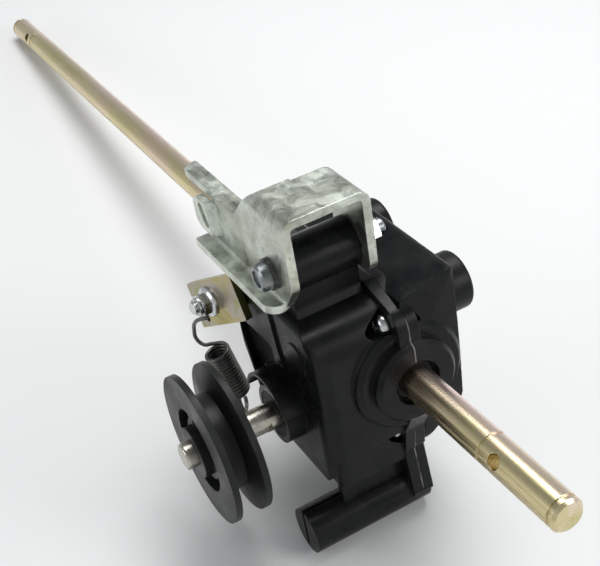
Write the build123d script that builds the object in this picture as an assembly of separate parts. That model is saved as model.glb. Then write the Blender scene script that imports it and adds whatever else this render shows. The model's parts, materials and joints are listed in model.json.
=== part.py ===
# Gearbox with a worm drive, a belt pulley and a swinging pivot bracket.
# Millimetres. While it is modelled, X runs along the output axle, Y along the input shaft and Z up,
# and the origin is on the axle's axis, where the input shaft passes below it.
# Everything is moved at the end so that the origin is at the middle of the assembly's base.

import os
from math import acos, atan2, cos, degrees, hypot, pi, radians, sin, tan

from build123d import *

# Fits, measured on the radius
running_gap = 0.05
seat_gap = 0.08
bolt_gap = 0.25
face_gap = 0.1

# How far a cut runs past the face it opens
past = 1.0

# Output axle
axle_radius = 6.0
axle_near_end = 110.0
axle_far_end = -423.0
axle_chamfer = 1.0
end_groove_setback = 2.6
end_groove_width = 1.1
inner_groove_setback = 35.8
groove_depth = 0.5
cross_hole_setback = 28.5
cross_hole_radius = 2.6
cross_hole_tilt = -31.0

# Worm and wheel
wheel_teeth = 20
worm_starts = 4
wheel_module = 0.94
centre_distance = 14.2
addendum = 0.75
dedendum = 1.05
wheel_width = 8.0
wheel_tooth_at_root = 1.3
wheel_tooth_at_tip = 0.6
worm_thread_at_root = 1.35
worm_thread_at_tip = 0.6
worm_half_length = 12.0
wheel_hub_length = 8.0
drive_pin_radius = 1.5
drive_pin_x = -8.0
wheel_neck_radius = 7.8
room_back = 12.4

# Housing body
body_right = 26.0
body_left = -38.0
body_left_z = -0.5
body_left_top = -35.0
slope_x = -28.5
foot_x = -20.0
body_front = -33.4
body_rear = 21.5
body_bottom = -35.5
body_top = 28.5
ledge_z = -25.0
below_ledge = 22.0
ledge_drop = 1.5
body_corner = 12.0
left_corner = 4.0
edge_round = 3.0
front_right_round = 6.0
top_round = 2.5
rear_left = -41.0
rear_right = 29.0
rear_top = 36.6
rear_foot = -22.0
rear_foot_round = 5.0
rear_round = 4.0
rear_edge_round = 2.5
rear_draft = 2.0
rear_boss_places = ((17.5, 21.3), (-31.0, 21.0))
rear_boss_radius = 10.5
rear_boss_height = 7.5
rear_boss_round = 1.5
rear_boss_bore = 6.5
rear_boss_bore_depth = 3.0
wall = 4.0
panel_recess = 3.0
panel_relief = 1.0
disc_relief = 0.5
disc_place = (9.8, 11.8)
disc_radius = 6.6
post_place = (-16.0, -8.0)
post_radius = 2.4
rib_width = 2.4
deep_panel = ((-60.0, 9.2, 0), (-28.0, 6.8, 0), (-8.0, 8.0, 2), (-5.4, -14.0, 0), (-8.0, -60.0, 0),
              (-60.0, -60.0, 0))
shallow_panel = ((-5.4, 25.5, 0), (-2.8, 8.0, 2), (0.6, 0.0, 0), (30.0, -3.0, 0), (30.0, 60.0, 0),
                 (-5.4, 60.0, 0))
flange_half = 4.0
flange_top = 29.6
flange_peak = ((11.0, 31.4), (0.0, 31.4))
lobe_corner = (1.6, 26.6)
lobe_round = 8.5
flange_side = 38.6
flange_shoulder = 1.1
flange_waist = (5.6, -24.0)
flange_foot = 7.6
flange_round = 5.0
flange_top_round = 6.0
flange_overhang = 1.0

# Hubs around the axle
hub_middle = -6.0
flare_radius = 24.6
flare_start = 22.0
flare_reach = 30.5
barrel_radius = 20.9
barrel_reach = 35.4
barrel_round = 1.6
hollow_depth = 0.8
lip_round = 1.4
ring_radius = 15.7
ring_reach = 39.4
hub_bore = 8.6
bush_outer = 9.0
bush_near = 28.3
bush_length = 7.0
seal_outer = 10.4
seal_length = 3.6
seal_sunk = 2.0
seal_dish = 0.8
seal_dish_inner = 1.2
washer_outer = 8.8
washer_thickness = 1.0
ring_thickness = 1.2
ring_outer = 8.0
ring_side_play = 0.04
ring_opening = 3.2

# Input shaft
input_radius = 5.0
nose_end = -76.5
shaft_rear_end = 18.5
input_boss_radius = 11.2
input_boss_front = -40.6
shroud_radius = 16.8
shroud_wall = 1.3
shroud_front = -42.4
shroud_from = 28.0
shroud_to = 160.0
input_bush_outer = 8.0
input_bush_length = 8.0
input_seal_outer = 9.0
input_seal_length = 3.6
input_seal_sunk = 0.2
input_hole_gap = 0.6
rear_bush_length = 6.4
collar_radius = 6.8
collar_length = 2.0
flat_depth = 0.7
flat_turn = -125.0
keyway_width = 1.8
keyway_depth = 0.8
flat_end = -45.0
nose_chamfer = 1.2

# Pulley
pulley_radius = 27.6
pulley_front = -70.3
pulley_back = -56.6
rim_width = 2.2
groove_floor_radius = 17.8
groove_floor_width = 5.0
window_outer = 15.6
window_inner = 11.6
spoke_width = 3.0
spoke_count = 3
spoke_turn = 110.0
hub_raise = 2.0
web_recess = 4.5
pulley_hub_radius = 9.4
spoke_setback = 1.0
collar_setback = 1.5

# Flange screws and nuts
screw_places = ((22.0, 20.0), (19.2, -26.8), (-34.0, 20.0), (-33.6, -27.0))
screw_radius = 2.5
screw_head_radius = 3.95
screw_head_height = 2.6
nut_flats = 8.0
nut_height = 4.0
screw_overrun = 1.6
screw_head_round = 1.3
cross_width = 1.0
cross_length = 4.4
cross_depth = 1.5
cross_turn = 25.0
thread_chamfer = 0.6
nut_chamfer = 0.5
nut_round = 1.15
pocket_radius = 6.6
head_way = 3.2
nut_way = 5.8
scoop_depth = 13.0
scoop_end = 1.6
pocket_wall = 2.6
head_room_radius = 5.0

# Hook clip below the housing
clip_x = 17.0
clip_z = -56.5
clip_radius = 8.7
clip_front = -44.0
slot_x = 16.3
slot_width = 1.6
slot_bottom = -63.6
foot_block_x = (13.8, 23.8)
foot_block_front = -30.0
foot_block_bottom = -39.2
foot_block_corner = 3.0
foot_block_edge = 1.0
foot_web_x = (17.3, 20.4)
leg_points = ((17.5, -30.0, 0), (24.0, -34.7, 2), (27.4, -55.0, 2), (25.5, -60.0, 1.5),
              (23.1, -50.9, 0), (19.7, -40.7, 0))

# Pivot on top
pivot_x = 5.8
pivot_z = 45.8
boss_radius = 8.8
boss_neck = 4.6
boss_neck_foot = 7.0
boss_neck_round = 3.0
arm_left = -33.0
arm_right = -1.0
sheet = 3.0
sleeve_outer = 4.6
pivot_bolt_radius = 3.0
pivot_head_radius = 4.9
pivot_head_height = 3.9
pivot_washer_outer = 5.6
pivot_washer_thickness = 1.7
pivot_nut_flats = 10.0
pivot_nut_height = 5.0
pivot_overrun = 3.4
pivot_chamfer = 0.8
pivot_dish_radius = 3.0
pivot_dish_depth = 0.7

# Bracket
bracket_front = 19.5
bracket_back = -3.0
bracket_top = 70.0
arm_foot = 34.0
right_foot = 38.2
lip_reach = 6.0
lip_back = -46.0
lip_front = 12.0
arm_corner = 6.0
arm_foot_corner = 3.0
right_foot_corner = 5.0
arm_front_z = 45.0
step_end = -17.5
step_end_z = 57.6
back_corner_x = -6.0
back_corner_z = 68.8
arm_end = -36.0
foot_height = 9.0
tail_end = -64.0
tail_top = 57.0
tail_start = -21.0
tail_strip_width = 6.6
tongue_inset = 0.7
tongue_slant = 3.0
tongue_depth = 7.0
jog_inner = 5.0
jog_length = 2.5
eye_end = -48.0
eye_foot = 41.0
eye_top = 54.0
eye_corner = 4.5
eye_place = (-40.2, 48.0)
eye_size = (9.6, 4.2)
eye_turn = 116.0
bend_radius = 4.5

# Strap and spring
strap_centre = (-35.6, -39.2, 15.2)
strap_direction = (0.85, 0.22, 0.47)
strap_normal = (0.19, -0.97, 0.11)
strap_length = 32.8
strap_width = 17.6
strap_bolt_along = -4.2
strap_bolt_up = 0.6
strap_bolt_radius = 2.5
strap_nut_flats = 8.0
strap_nut_height = 4.7
strap_nut_flange_radius = 5.9
strap_nut_flange = 1.2
strap_nut_waist = 4.6
strap_corner = 0.8
strap_bolt_overrun = 5.0
strap_head_height = 3.4
strap_head_radius = 4.0
strap_head_room = 0.6
lug_thickness = 7.0
lug_along = (-8.0, 13.6)
lug_up = (-4.4, 7.6)
lug_corner = 2.5
spring_hole_along = -10.4
spring_hole_up = -5.6
spring_hole_radius = 1.4
wire_radius = 0.62
wire_sides = 8
coil_radius = 4.6
coil_turns = 15
coil_length = 24.0
coil_drop = 15.0
coil_offset = -1.5
hook_radius = 3.2
hook_reach = 2.6
hook_tip = 1.3
hook_back = 2.4
spring_lean = (8.9, 3.5, 0)

# Worked out from the sizes above
ON_BASE = (Align.CENTER, Align.CENTER, Align.MIN)
FROM_CORNER = (Align.MIN, Align.MIN, Align.MIN)
wheel_pitch_radius = wheel_teeth * wheel_module / 2
worm_pitch_radius = centre_distance - wheel_pitch_radius
worm_lead = pi * wheel_module * worm_starts
lead_slope = worm_lead / (2 * pi * worm_pitch_radius)
worm_z = -centre_distance
flange_front = -flange_half
strap_plane = Plane(origin=strap_centre, x_dir=strap_direction, z_dir=strap_normal)
FAR = 300.0


def rod_x(radius, start, end, y=0, z=0):
    return Pos(start, y, z) * Rot(0, 90, 0) * Cylinder(radius, end - start, align=ON_BASE)


def rod_y(radius, start, end, x=0, z=0):
    return Pos(x, start, z) * Rot(-90, 0, 0) * Cylinder(radius, end - start, align=ON_BASE)


def block(x, y, z):
    # each of x, y and z is a pair: from, to
    return Pos(x[0], y[0], z[0]) * Box(x[1] - x[0], y[1] - y[0], z[1] - z[0], align=FROM_CORNER)


def outline(corners):
    # each corner is its two coordinates and the radius it is rounded with
    face = Polygon(*[(across, up) for across, up, radius in corners], align=None)
    for across, up, radius in corners:
        if radius > 0:
            corner = face.vertices().sort_by_distance((across, up, 0))[0]
            face = fillet([corner], radius)
    return face


def slab_y(face, start, end):
    # the face is drawn in x and z
    plane = Plane(origin=(0, start, 0), x_dir=(1, 0, 0), z_dir=(0, -1, 0))
    return extrude(plane * face, end - start, dir=(0, 1, 0))


def slab_x(face, start, end):
    # the face is drawn in y and z
    plane = Plane(origin=(start, 0, 0), x_dir=(0, 1, 0), z_dir=(1, 0, 0))
    return extrude(plane * face, end - start, dir=(1, 0, 0))


def slab_z(face, start, end):
    # the face is drawn in x and y
    return extrude(Pos(0, 0, start) * face, end - start, dir=(0, 0, 1))


def hexagon_y(flats, start, end, x, z):
    return slab_y(Pos(x, z) * RegularPolygon(flats / 2, 6, major_radius=False), start, end)


def both_sides(shape):
    plane = Plane(origin=(hub_middle, 0, 0), z_dir=(1, 0, 0))
    return shape + mirror(shape, about=plane)


def front_only(shape):
    return shape & block((-FAR, FAR), (-FAR, 0), (-FAR, FAR))


def rear_only(shape):
    return shape & block((-FAR, FAR), (0, FAR), (-FAR, FAR))


# Housing

def clip_face():
    # the hook clip in section: a round bead with a slot that opens upwards
    bead = Pos(clip_x, clip_z) * Circle(clip_radius)
    return bead - Pos(slot_x, slot_bottom) * Rectangle(slot_width, FAR, align=(Align.CENTER, Align.MIN))


def body_face():
    # the front half's body in section, seen from the pulley
    return outline([(foot_x, body_bottom, edge_round), (slope_x, ledge_z, edge_round),
                    (body_left, body_left_z, 2 * edge_round), (body_left_top, body_top, left_corner),
                    (body_right, body_top, body_corner), (body_right, ledge_z, edge_round / 2),
                    (below_ledge, ledge_z - ledge_drop, 0), (below_ledge, body_bottom, edge_round)])


def flange_face():
    right = hub_middle + flange_side
    left = hub_middle - flange_side
    waist, waist_z = flange_waist
    lobe_x, lobe_z = lobe_corner
    foot_z = body_bottom - flange_overhang
    body = outline([
        (right - lobe_x, lobe_z, lobe_round), (right, worm_z, flange_round),
        (right - waist, waist_z, flange_round), (right - flange_foot, foot_z, edge_round),
        (left + flange_foot, foot_z, edge_round), (left + waist, waist_z, flange_round),
        (left, worm_z, flange_round), (left + flange_shoulder, flange_top, flange_top_round),
        (*flange_peak[1], flange_round), (*flange_peak[0], flange_round)])
    return body + outline(leg_points)


def hub_profile():
    # half of the section through one hub, with the axle's axis below it
    wide = hub_middle + flare_start
    neck = hub_middle + flare_reach
    tip = hub_middle + barrel_reach
    lip = hub_middle + ring_reach
    core = barrel_radius - past
    middle = (flare_radius + barrel_radius) / 2 - hollow_depth
    shoulder = (tip - barrel_round, barrel_radius)
    hollow = ThreePointArc((neck, flare_radius), ((4 * neck + tip) / 5, middle), shoulder)
    edges = Polyline(shoulder, (tip, barrel_radius - barrel_round), (tip, ring_radius),
                     (lip - lip_round, ring_radius), (lip, ring_radius - lip_round), (lip, 0),
                     (hub_middle, 0), (hub_middle, core), (wide, core), (wide, flare_radius),
                     (neck, flare_radius))
    return make_face(Wire([hollow.edge(), *edges.edges()]))


def hubs():
    return both_sides(revolve(hub_profile(), Axis.X))


def hub_bores():
    bush = rod_x(bush_outer + seat_gap, hub_middle, hub_middle + bush_near + bush_length + face_gap)
    seal_end = hub_middle + bush_near + bush_length + seal_length + 2 * face_gap - seal_sunk
    seal = rod_x(seal_outer + seat_gap, seal_end - seal_length, seal_end)
    lip = rod_x(hub_bore, hub_middle, hub_middle + ring_reach + past)
    return both_sides(bush + seal + lip)


def front_shell():
    low = 2 * body_bottom
    side = slab_x(outline([(body_front, low, 0), (wall, low, 0), (wall, body_top, 0),
                           (body_front, body_top, top_round)]), low, -low)
    plan = slab_z(outline([(body_left, body_front, edge_round), (body_right, body_front, front_right_round),
                           (body_right, wall, 0), (body_left, wall, 0)]), low, -low)
    return slab_y(body_face(), body_front, 0) & side & plan


def front_panel_pocket():
    # the deep recess in the front face, left of the bent rib, and the shallow panel right of it
    inside = offset(body_face(), -rib_width)
    left = inside & outline(deep_panel)
    right = inside & outline(shallow_panel)
    post = Pos(*post_place) * Circle(post_radius)
    disc = Pos(*disc_place) * Circle(disc_radius)
    pocket = slab_y(left - post, body_front - past, body_front + panel_recess)
    pocket += slab_y(right - disc, body_front - past, body_front + panel_relief)
    return pocket + slab_y(disc, body_front - past, body_front + disc_relief)


def shroud():
    # the thin curved wall over the input boss
    ring = rod_y(shroud_radius, shroud_front, body_front + panel_recess, 0, worm_z)
    ring -= rod_y(shroud_radius - shroud_wall, -FAR, 0, 0, worm_z)
    middle = (shroud_from + shroud_to) / 2
    edge = 2 * shroud_radius
    points = [(edge * cos(radians(angle)), edge * sin(radians(angle)))
              for angle in (shroud_from, middle, shroud_to)]
    wedge = slab_y(Pos(0, worm_z) * Polygon((0, 0), *points, align=None), shroud_front, 0)
    return ring & wedge & slab_y(body_face(), shroud_front, 0)


def strap_lug():
    face = Pos((lug_along[0] + lug_along[1]) / 2, (lug_up[0] + lug_up[1]) / 2) * RectangleRounded(
        lug_along[1] - lug_along[0], lug_up[1] - lug_up[0], lug_corner)
    return extrude(strap_plane.offset(-sheet / 2 - face_gap) * face, -lug_thickness)


def strap_head_space():
    # the place behind the lug where the bolt's head goes in from the side
    radius = strap_head_radius / cos(pi / 6) + strap_head_room
    back = -sheet / 2 - face_gap - lug_thickness
    place = strap_plane.offset(back) * Pos(strap_bolt_along, strap_bolt_up, 0)
    shape = Circle(radius) + Pos(-2 * radius, 0) * Rectangle(4 * radius, 2 * radius)
    return extrude(place * shape, -strap_head_height - strap_head_room)


def strap_bolt_hole(radius):
    place = strap_plane.offset(-FAR / 2)
    return place * Pos(strap_bolt_along, strap_bolt_up, 0) * Cylinder(radius, FAR, align=ON_BASE)


def pivot_boss():
    ends = (arm_left + sheet + 4 * face_gap, arm_right - sheet - 4 * face_gap)
    bend = body_top + boss_neck_round
    root = body_top - wall / 2
    neck = outline([(pivot_x - boss_neck, pivot_z, 0), (pivot_x - boss_neck, bend, boss_neck_round),
                    (pivot_x - boss_neck_foot, root, 0), (pivot_x + boss_neck_foot, root, 0),
                    (pivot_x + boss_neck, bend, boss_neck_round), (pivot_x + boss_neck, pivot_z, 0)])
    return rod_y(boss_radius, ends[0], ends[1], pivot_x, pivot_z) + slab_y(neck, ends[0], ends[1])


def lower_block():
    # the block under the body and the narrow web between it and the clip
    left, right = foot_block_x
    plan = outline([(left, foot_block_front, foot_block_edge), (right, foot_block_front, foot_block_corner),
                    (right, 0, 0), (left, 0, 0)])
    web = block(foot_web_x, (foot_block_front + past, 0),
                (clip_z + clip_radius / 2, foot_block_bottom + past))
    return slab_z(plan, foot_block_bottom, ledge_z - ledge_drop) + web


def gear_room():
    # the room for worm and wheel inside both halves, kept clear of the screws' pockets
    half = bush_near - past
    face = offset(body_face(), -wall) & Pos(hub_middle, 0) * Rectangle(2 * half, FAR)
    slope = atan2(rear_foot - body_bottom, body_rear - flange_half)
    floor = body_bottom + wall
    back_floor = floor + (room_back - flange_half) * tan(slope) + wall / cos(slope) - wall
    low = 2 * body_bottom
    side = outline([(body_front, floor, 0), (0, floor, 0), (room_back, back_floor, 0), (room_back, -low, 0),
                    (body_front, -low, 0)])
    room = slab_y(face, body_front + panel_recess + wall, room_back) & slab_x(side, low, -low)
    for x, z in screw_places:
        room -= rod_y(pocket_radius + pocket_wall, -FAR, FAR, x, z)
    return room


def input_bores():
    bush_back = body_front + panel_recess + wall + past
    bush_front = bush_back - past - input_bush_length
    opening = input_boss_front - past
    front = rod_y(input_bush_outer + seat_gap, bush_front, bush_back, 0, worm_z)
    seal = rod_y(input_seal_outer + seat_gap, opening, input_boss_front + input_seal_length, 0, worm_z)
    through = rod_y(input_radius + input_hole_gap, opening, bush_back, 0, worm_z)
    rear_end = room_back + rear_bush_length + input_seal_sunk
    rear = rod_y(input_bush_outer + seat_gap, room_back - past, rear_end, 0, worm_z)
    return front + seal + through + rear


def cone_y(at_face, at_end, face, depth, x, z):
    # depth is negative where the cone runs forward of the face
    turn = -90 if depth > 0 else 90
    return Pos(x, face, z) * Rot(turn, 0, 0) * Cone(at_face, at_end, abs(depth), align=ON_BASE)


def corner_scoops(face, depth):
    # hollows at the screws that widen towards the flange
    scoops = [cone_y(pocket_radius, scoop_end, face, depth, x, z) for x, z in screw_places]
    return Compound(children=scoops) - rod_x(barrel_radius - past, -FAR, FAR)


def screw_bores(start, end):
    bores = [rod_y(screw_radius + bolt_gap, start, end, x, z) for x, z in screw_places]
    return Compound(children=bores)


def room_beside_flange(start, end):
    # straight ways to the screw heads or nuts
    return Compound(children=[rod_y(head_room_radius, start, end, x, z) for x, z in screw_places])


def housing_front():
    shell = front_shell() - front_panel_pocket()
    shell += lower_block()
    shell += slab_y(clip_face(), clip_front, 0)
    shell += front_only(hubs())
    shell += rod_y(input_boss_radius, input_boss_front, body_front + panel_recess, 0, worm_z)
    shell += shroud()
    shell -= corner_scoops(flange_front, -scoop_depth)
    shell += slab_y(flange_face(), flange_front, 0)
    shell += pivot_boss()
    shell += strap_lug()
    shell -= gear_room()
    shell -= front_only(hub_bores())
    shell -= input_bores()
    shell -= room_beside_flange(flange_front - head_way, flange_front)
    shell -= screw_bores(flange_front - past, 0)
    shell -= rod_y(sleeve_outer + running_gap, -FAR, 0, pivot_x, pivot_z)
    shell -= strap_head_space()
    shell -= strap_bolt_hole(strap_bolt_radius + bolt_gap)
    return shell


def rear_shell():
    side = slab_x(outline([
        (0, body_bottom, 0), (flange_half, body_bottom, 0), (body_rear, rear_foot, rear_foot_round),
        (body_rear, rear_top, rear_edge_round), (0, flange_top, 0)]), rear_left, rear_right)
    plan = slab_z(outline([
        (rear_left, 0, 0), (rear_right - rear_draft, 0, 0), (rear_right, body_rear, rear_edge_round),
        (rear_left, body_rear, rear_edge_round)]), -FAR, FAR)
    top = rear_top + past
    end = slab_y(outline([
        (rear_left + rear_draft, body_bottom, rear_round),
        (rear_right - 2 * rear_draft, body_bottom, rear_round),
        (rear_right, top, rear_round), (rear_left, top, rear_round)]), 0, body_rear)
    return side & plan & end


def rear_bosses():
    bosses = None
    top = body_rear + rear_boss_height
    for x, z in rear_boss_places:
        boss = rod_y(rear_boss_radius, body_rear - past, top, x, z)
        boss = fillet(boss.edges().sort_by(Axis.Y)[-1], rear_boss_round)
        boss -= rod_y(rear_boss_bore, top - rear_boss_bore_depth, top + past, x, z)
        bosses = boss if bosses is None else bosses + boss
    return bosses


def housing_rear():
    shell = rear_shell() + (rear_only(hubs()) & block((-FAR, FAR), (0, body_rear), (-FAR, FAR)))
    shell -= corner_scoops(flange_half, scoop_depth)
    shell += slab_y(flange_face() + clip_face(), 0, flange_half)
    shell += rear_bosses()
    shell -= gear_room()
    shell -= rear_only(hub_bores())
    shell -= input_bores()
    shell -= room_beside_flange(flange_half, flange_half + nut_way)
    shell -= screw_bores(0, flange_half + past)
    return shell


def housing_screws():
    screws = []
    for x, z in screw_places:
        head = rod_y(screw_head_radius, flange_front - screw_head_height, flange_front, x, z)
        head = fillet(head.edges().sort_by(Axis.Y)[0], screw_head_round)
        upright = Box(cross_width, 2 * cross_depth, cross_length)
        recess = upright + Box(cross_length, 2 * cross_depth, cross_width)
        head -= Pos(x, flange_front - screw_head_height, z) * Rot(0, cross_turn, 0) * recess
        shank = rod_y(screw_radius, flange_front - past / 2, flange_half + nut_height + screw_overrun, x, z)
        screws.append(head + chamfer(shank.edges().sort_by(Axis.Y)[-1], thread_chamfer))
    return Compound(children=screws)


def housing_nuts():
    nuts = []
    for x, z in screw_places:
        nut = hexagon_y(nut_flats, flange_half, flange_half + nut_height, x, z)
        round_part = rod_y(nut_round * nut_flats / 2, flange_half, flange_half + nut_height, x, z)
        nut &= chamfer(round_part.edges(), nut_chamfer)
        nuts.append(nut - rod_y(screw_radius, 0, FAR, x, z))
    return Compound(children=nuts)


# Axle and what is on it

def axle():
    bar = rod_x(axle_radius, axle_far_end, axle_near_end)
    bar = chamfer(bar.edges().filter_by(GeomType.CIRCLE), axle_chamfer)
    for end, inward in ((axle_near_end, -1), (axle_far_end, 1)):
        for setback in (end_groove_setback, inner_groove_setback):
            middle = end + inward * setback
            cut = rod_x(axle_radius + past, middle - end_groove_width / 2, middle + end_groove_width / 2)
            bar -= cut - rod_x(axle_radius - groove_depth, -FAR * 2, FAR)
        hole = Pos(end + inward * cross_hole_setback, 0, 0) * Rot(cross_hole_tilt, 0, 0)
        bar -= hole * rod_y(cross_hole_radius, -2 * axle_radius, 2 * axle_radius)
    bar -= Pos(drive_pin_x, 0, 0) * Cylinder(drive_pin_radius + seat_gap, 4 * axle_radius)
    for x in ring_starts():
        groove = rod_x(axle_radius + past, x, x + ring_thickness)
        bar -= groove - rod_x(axle_radius - groove_depth, -FAR, FAR)
    return bar


def ring_starts():
    offset = bush_near - washer_thickness - ring_thickness - 2 * face_gap
    return (hub_middle + offset, hub_middle - offset - ring_thickness)


def axle_rings():
    rings = []
    for x in ring_starts():
        ring = rod_x(ring_outer, x + ring_side_play, x + ring_thickness - ring_side_play)
        ring -= rod_x(axle_radius - groove_depth + seat_gap, -FAR, FAR)
        rings.append(ring - block((x, x + ring_thickness), (-ring_opening / 2, ring_opening / 2), (0, FAR)))
    return Compound(children=rings)


def wheel_washers():
    start = hub_middle + bush_near - washer_thickness - face_gap
    washer = rod_x(washer_outer, start, start + washer_thickness)
    washer -= rod_x(axle_radius + running_gap, -FAR, FAR)
    return both_sides(washer)


def axle_bushes():
    start = hub_middle + bush_near
    bush = rod_x(bush_outer, start, start + bush_length) - rod_x(axle_radius + running_gap, -FAR, FAR)
    return both_sides(bush)


def axle_seals():
    end = hub_middle + bush_near + bush_length + seal_length + face_gap - seal_sunk
    start = hub_middle + bush_near + bush_length + 3 * face_gap
    seal = rod_x(seal_outer, start, end) - rod_x(axle_radius + running_gap, -FAR, FAR)
    dish = rod_x(hub_bore - seal_dish, end - seal_dish, end + past)
    return both_sides(seal - (dish - rod_x(axle_radius + seal_dish_inner, -FAR, FAR)))


def toothed_face(count, root, tip, root_width, tip_width):
    # teeth with straight sides on a disc, widths measured as angles in degrees
    points = []
    for index in range(count):
        middle = 360 * index / count
        for radius, offset in ((root, -root_width / 2), (tip, -tip_width / 2), (tip, tip_width / 2),
                               (root, root_width / 2)):
            angle = radians(middle + offset)
            points.append((radius * cos(angle), radius * sin(angle)))
    return Polygon(*points, align=None)


def worm_wheel():
    root = wheel_pitch_radius - dedendum
    tip = wheel_pitch_radius + addendum
    face = toothed_face(wheel_teeth, root, tip, degrees(wheel_tooth_at_root / root),
                        degrees(wheel_tooth_at_tip / tip))
    twist = degrees(wheel_width * lead_slope / wheel_pitch_radius)
    start = Plane(origin=(-wheel_width / 2, 0, 0), x_dir=(0, 0, -1), z_dir=(1, 0, 0))
    section = (start * Rot(0, 0, -twist / 2) * face).face()
    teeth = Solid.extrude_linear_with_rotation(section, start.origin, Vector(wheel_width, 0, 0), twist)
    hub = rod_x(wheel_neck_radius, -wheel_width / 2 - wheel_hub_length, -wheel_width / 2)
    wheel = Part(teeth.wrapped) + hub
    wheel -= rod_x(axle_radius + seat_gap, -FAR, FAR)
    return wheel - Pos(drive_pin_x, 0, 0) * Cylinder(drive_pin_radius + seat_gap, 4 * axle_radius)


def drive_pin():
    return Pos(drive_pin_x, 0, 0) * Cylinder(drive_pin_radius, 2 * (wheel_neck_radius - 2 * face_gap))


# Input side

def input_section(grow):
    # the flatted end of the shaft, in x and z about its own axis
    cut = Pos(0, input_radius - flat_depth + grow) * Rectangle(FAR, FAR, align=(Align.CENTER, Align.MIN))
    return Rot(0, 0, flat_turn) * (Circle(input_radius + grow) - cut)


def worm():
    root = worm_pitch_radius - dedendum
    tip = worm_pitch_radius + addendum
    face = toothed_face(worm_starts, root, tip, 360 * worm_thread_at_root / worm_lead,
                        360 * worm_thread_at_tip / worm_lead)
    twist = 360 * 2 * worm_half_length / worm_lead
    start = Plane(origin=(0, -worm_half_length, worm_z), x_dir=(0, 0, 1), z_dir=(0, 1, 0))
    gap_on_top = 180 / worm_starts
    section = (start * Rot(0, 0, gap_on_top - twist / 2) * face).face()
    length = Vector(0, 2 * worm_half_length, 0)
    return Part(Solid.extrude_linear_with_rotation(section, start.origin, length, twist).wrapped)


def input_shaft():
    bush_back = body_front + panel_recess + wall + face_gap
    shaft = worm()
    shaft += rod_y(worm_pitch_radius - dedendum, bush_back, room_back, 0, worm_z)
    shaft += rod_y(input_radius, flat_end, bush_back + collar_length, 0, worm_z)
    nose = rod_y(input_radius, nose_end, flat_end, 0, worm_z)
    nose = fillet(nose.edges().sort_by(Axis.Y)[0], nose_chamfer)
    shaft += nose & slab_y(Pos(0, worm_z) * input_section(0), nose_end, flat_end)
    shaft -= block((input_radius - keyway_depth, input_radius + past), (pulley_front, flat_end + past),
                   (worm_z - keyway_width / 2, worm_z + keyway_width / 2))
    shaft += rod_y(collar_radius, bush_back + face_gap, bush_back + collar_length, 0, worm_z)
    shaft += rod_y(collar_radius, room_back - collar_length, room_back - face_gap, 0, worm_z)
    return shaft + rod_y(input_radius, room_back - collar_length, shaft_rear_end, 0, worm_z)


def input_bushes():
    bush_back = body_front + panel_recess + wall
    front = rod_y(input_bush_outer, bush_back - input_bush_length, bush_back, 0, worm_z)
    rear = rod_y(input_bush_outer, room_back, room_back + rear_bush_length, 0, worm_z)
    return Compound(children=[tube - rod_y(input_radius + running_gap, -FAR, FAR, 0, worm_z)
                              for tube in (front, rear)])


def input_seal():
    back = input_boss_front + input_seal_length - face_gap
    seal = rod_y(input_seal_outer, input_boss_front + input_seal_sunk, back, 0, worm_z)
    return seal - rod_y(input_radius + running_gap, -FAR, FAR, 0, worm_z)


def pulley():
    middle = (pulley_front + pulley_back) / 2
    half = (pulley_back - pulley_front) / 2
    floor_half = groove_floor_width / 2
    disc = rod_y(pulley_radius, pulley_front, pulley_back, 0, worm_z)
    groove = Plane.YZ * Polygon((middle - half + rim_width, pulley_radius + past),
                                (middle - floor_half, groove_floor_radius),
                                (middle + floor_half, groove_floor_radius),
                                (middle + half - rim_width, pulley_radius + past), align=None)
    wheel = disc - Pos(0, 0, worm_z) * revolve(groove, Axis.Y)
    front_recess = rod_y(window_outer, pulley_front - past, pulley_front + web_recess, 0, worm_z)
    back_recess = rod_y(window_outer, pulley_back - web_recess, pulley_back + past, 0, worm_z)
    wheel -= front_recess + back_recess
    windows = rod_y(window_outer, pulley_front - past, pulley_back + past, 0, worm_z)
    windows -= rod_y(window_inner, -FAR, 0, 0, worm_z)
    for index in range(spoke_count):
        turn = spoke_turn + 360 * index / spoke_count
        spoke = block((0, window_outer + past), (pulley_front, pulley_back),
                      (-spoke_width / 2, spoke_width / 2))
        windows -= Pos(0, 0, worm_z) * Rot(0, -turn, 0) * spoke
    wheel -= windows
    hub = rod_y(window_inner, pulley_front + collar_setback, pulley_back - collar_setback, 0, worm_z)
    hub += rod_y(pulley_hub_radius, pulley_front - hub_raise, pulley_back, 0, worm_z)
    for index in range(spoke_count):
        turn = spoke_turn + 360 * index / spoke_count
        spoke = block((0, window_outer + past / 2),
                      (pulley_front + spoke_setback, pulley_back - spoke_setback),
                      (-spoke_width / 2, spoke_width / 2))
        hub += Pos(0, 0, worm_z) * Rot(0, -turn, 0) * spoke
    wheel += hub
    return wheel - slab_y(Pos(0, worm_z) * input_section(running_gap), -FAR, 0)


# Pivot bracket

def channel_face():
    # the bracket's bent sheet seen along the axle
    outer = outline([(arm_left, 0, 0), (arm_right, 0, 0), (arm_right, bracket_top, bend_radius),
                     (arm_left, bracket_top, bend_radius)])
    inner = outline([(arm_left + sheet, -1, 0), (arm_right - sheet, -1, 0),
                     (arm_right - sheet, bracket_top - sheet, bend_radius - sheet),
                     (arm_left + sheet, bracket_top - sheet, bend_radius - sheet)])
    return outer - inner


def left_arm_face():
    above = bracket_top + past
    return outline([
        (bracket_front, above, 0), (bracket_front, arm_front_z, arm_corner),
        (lip_front - past, arm_foot, arm_foot_corner), (lip_back, arm_foot, 0),
        (lip_back, arm_foot + sheet, 0),
        (arm_end, arm_foot + 2 * sheet, arm_foot_corner), (arm_end, tail_top, 0), (tail_start, tail_top, 0),
        (step_end, step_end_z, 3), (back_corner_x, back_corner_z, 3), (bracket_back, above, 0)])


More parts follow.
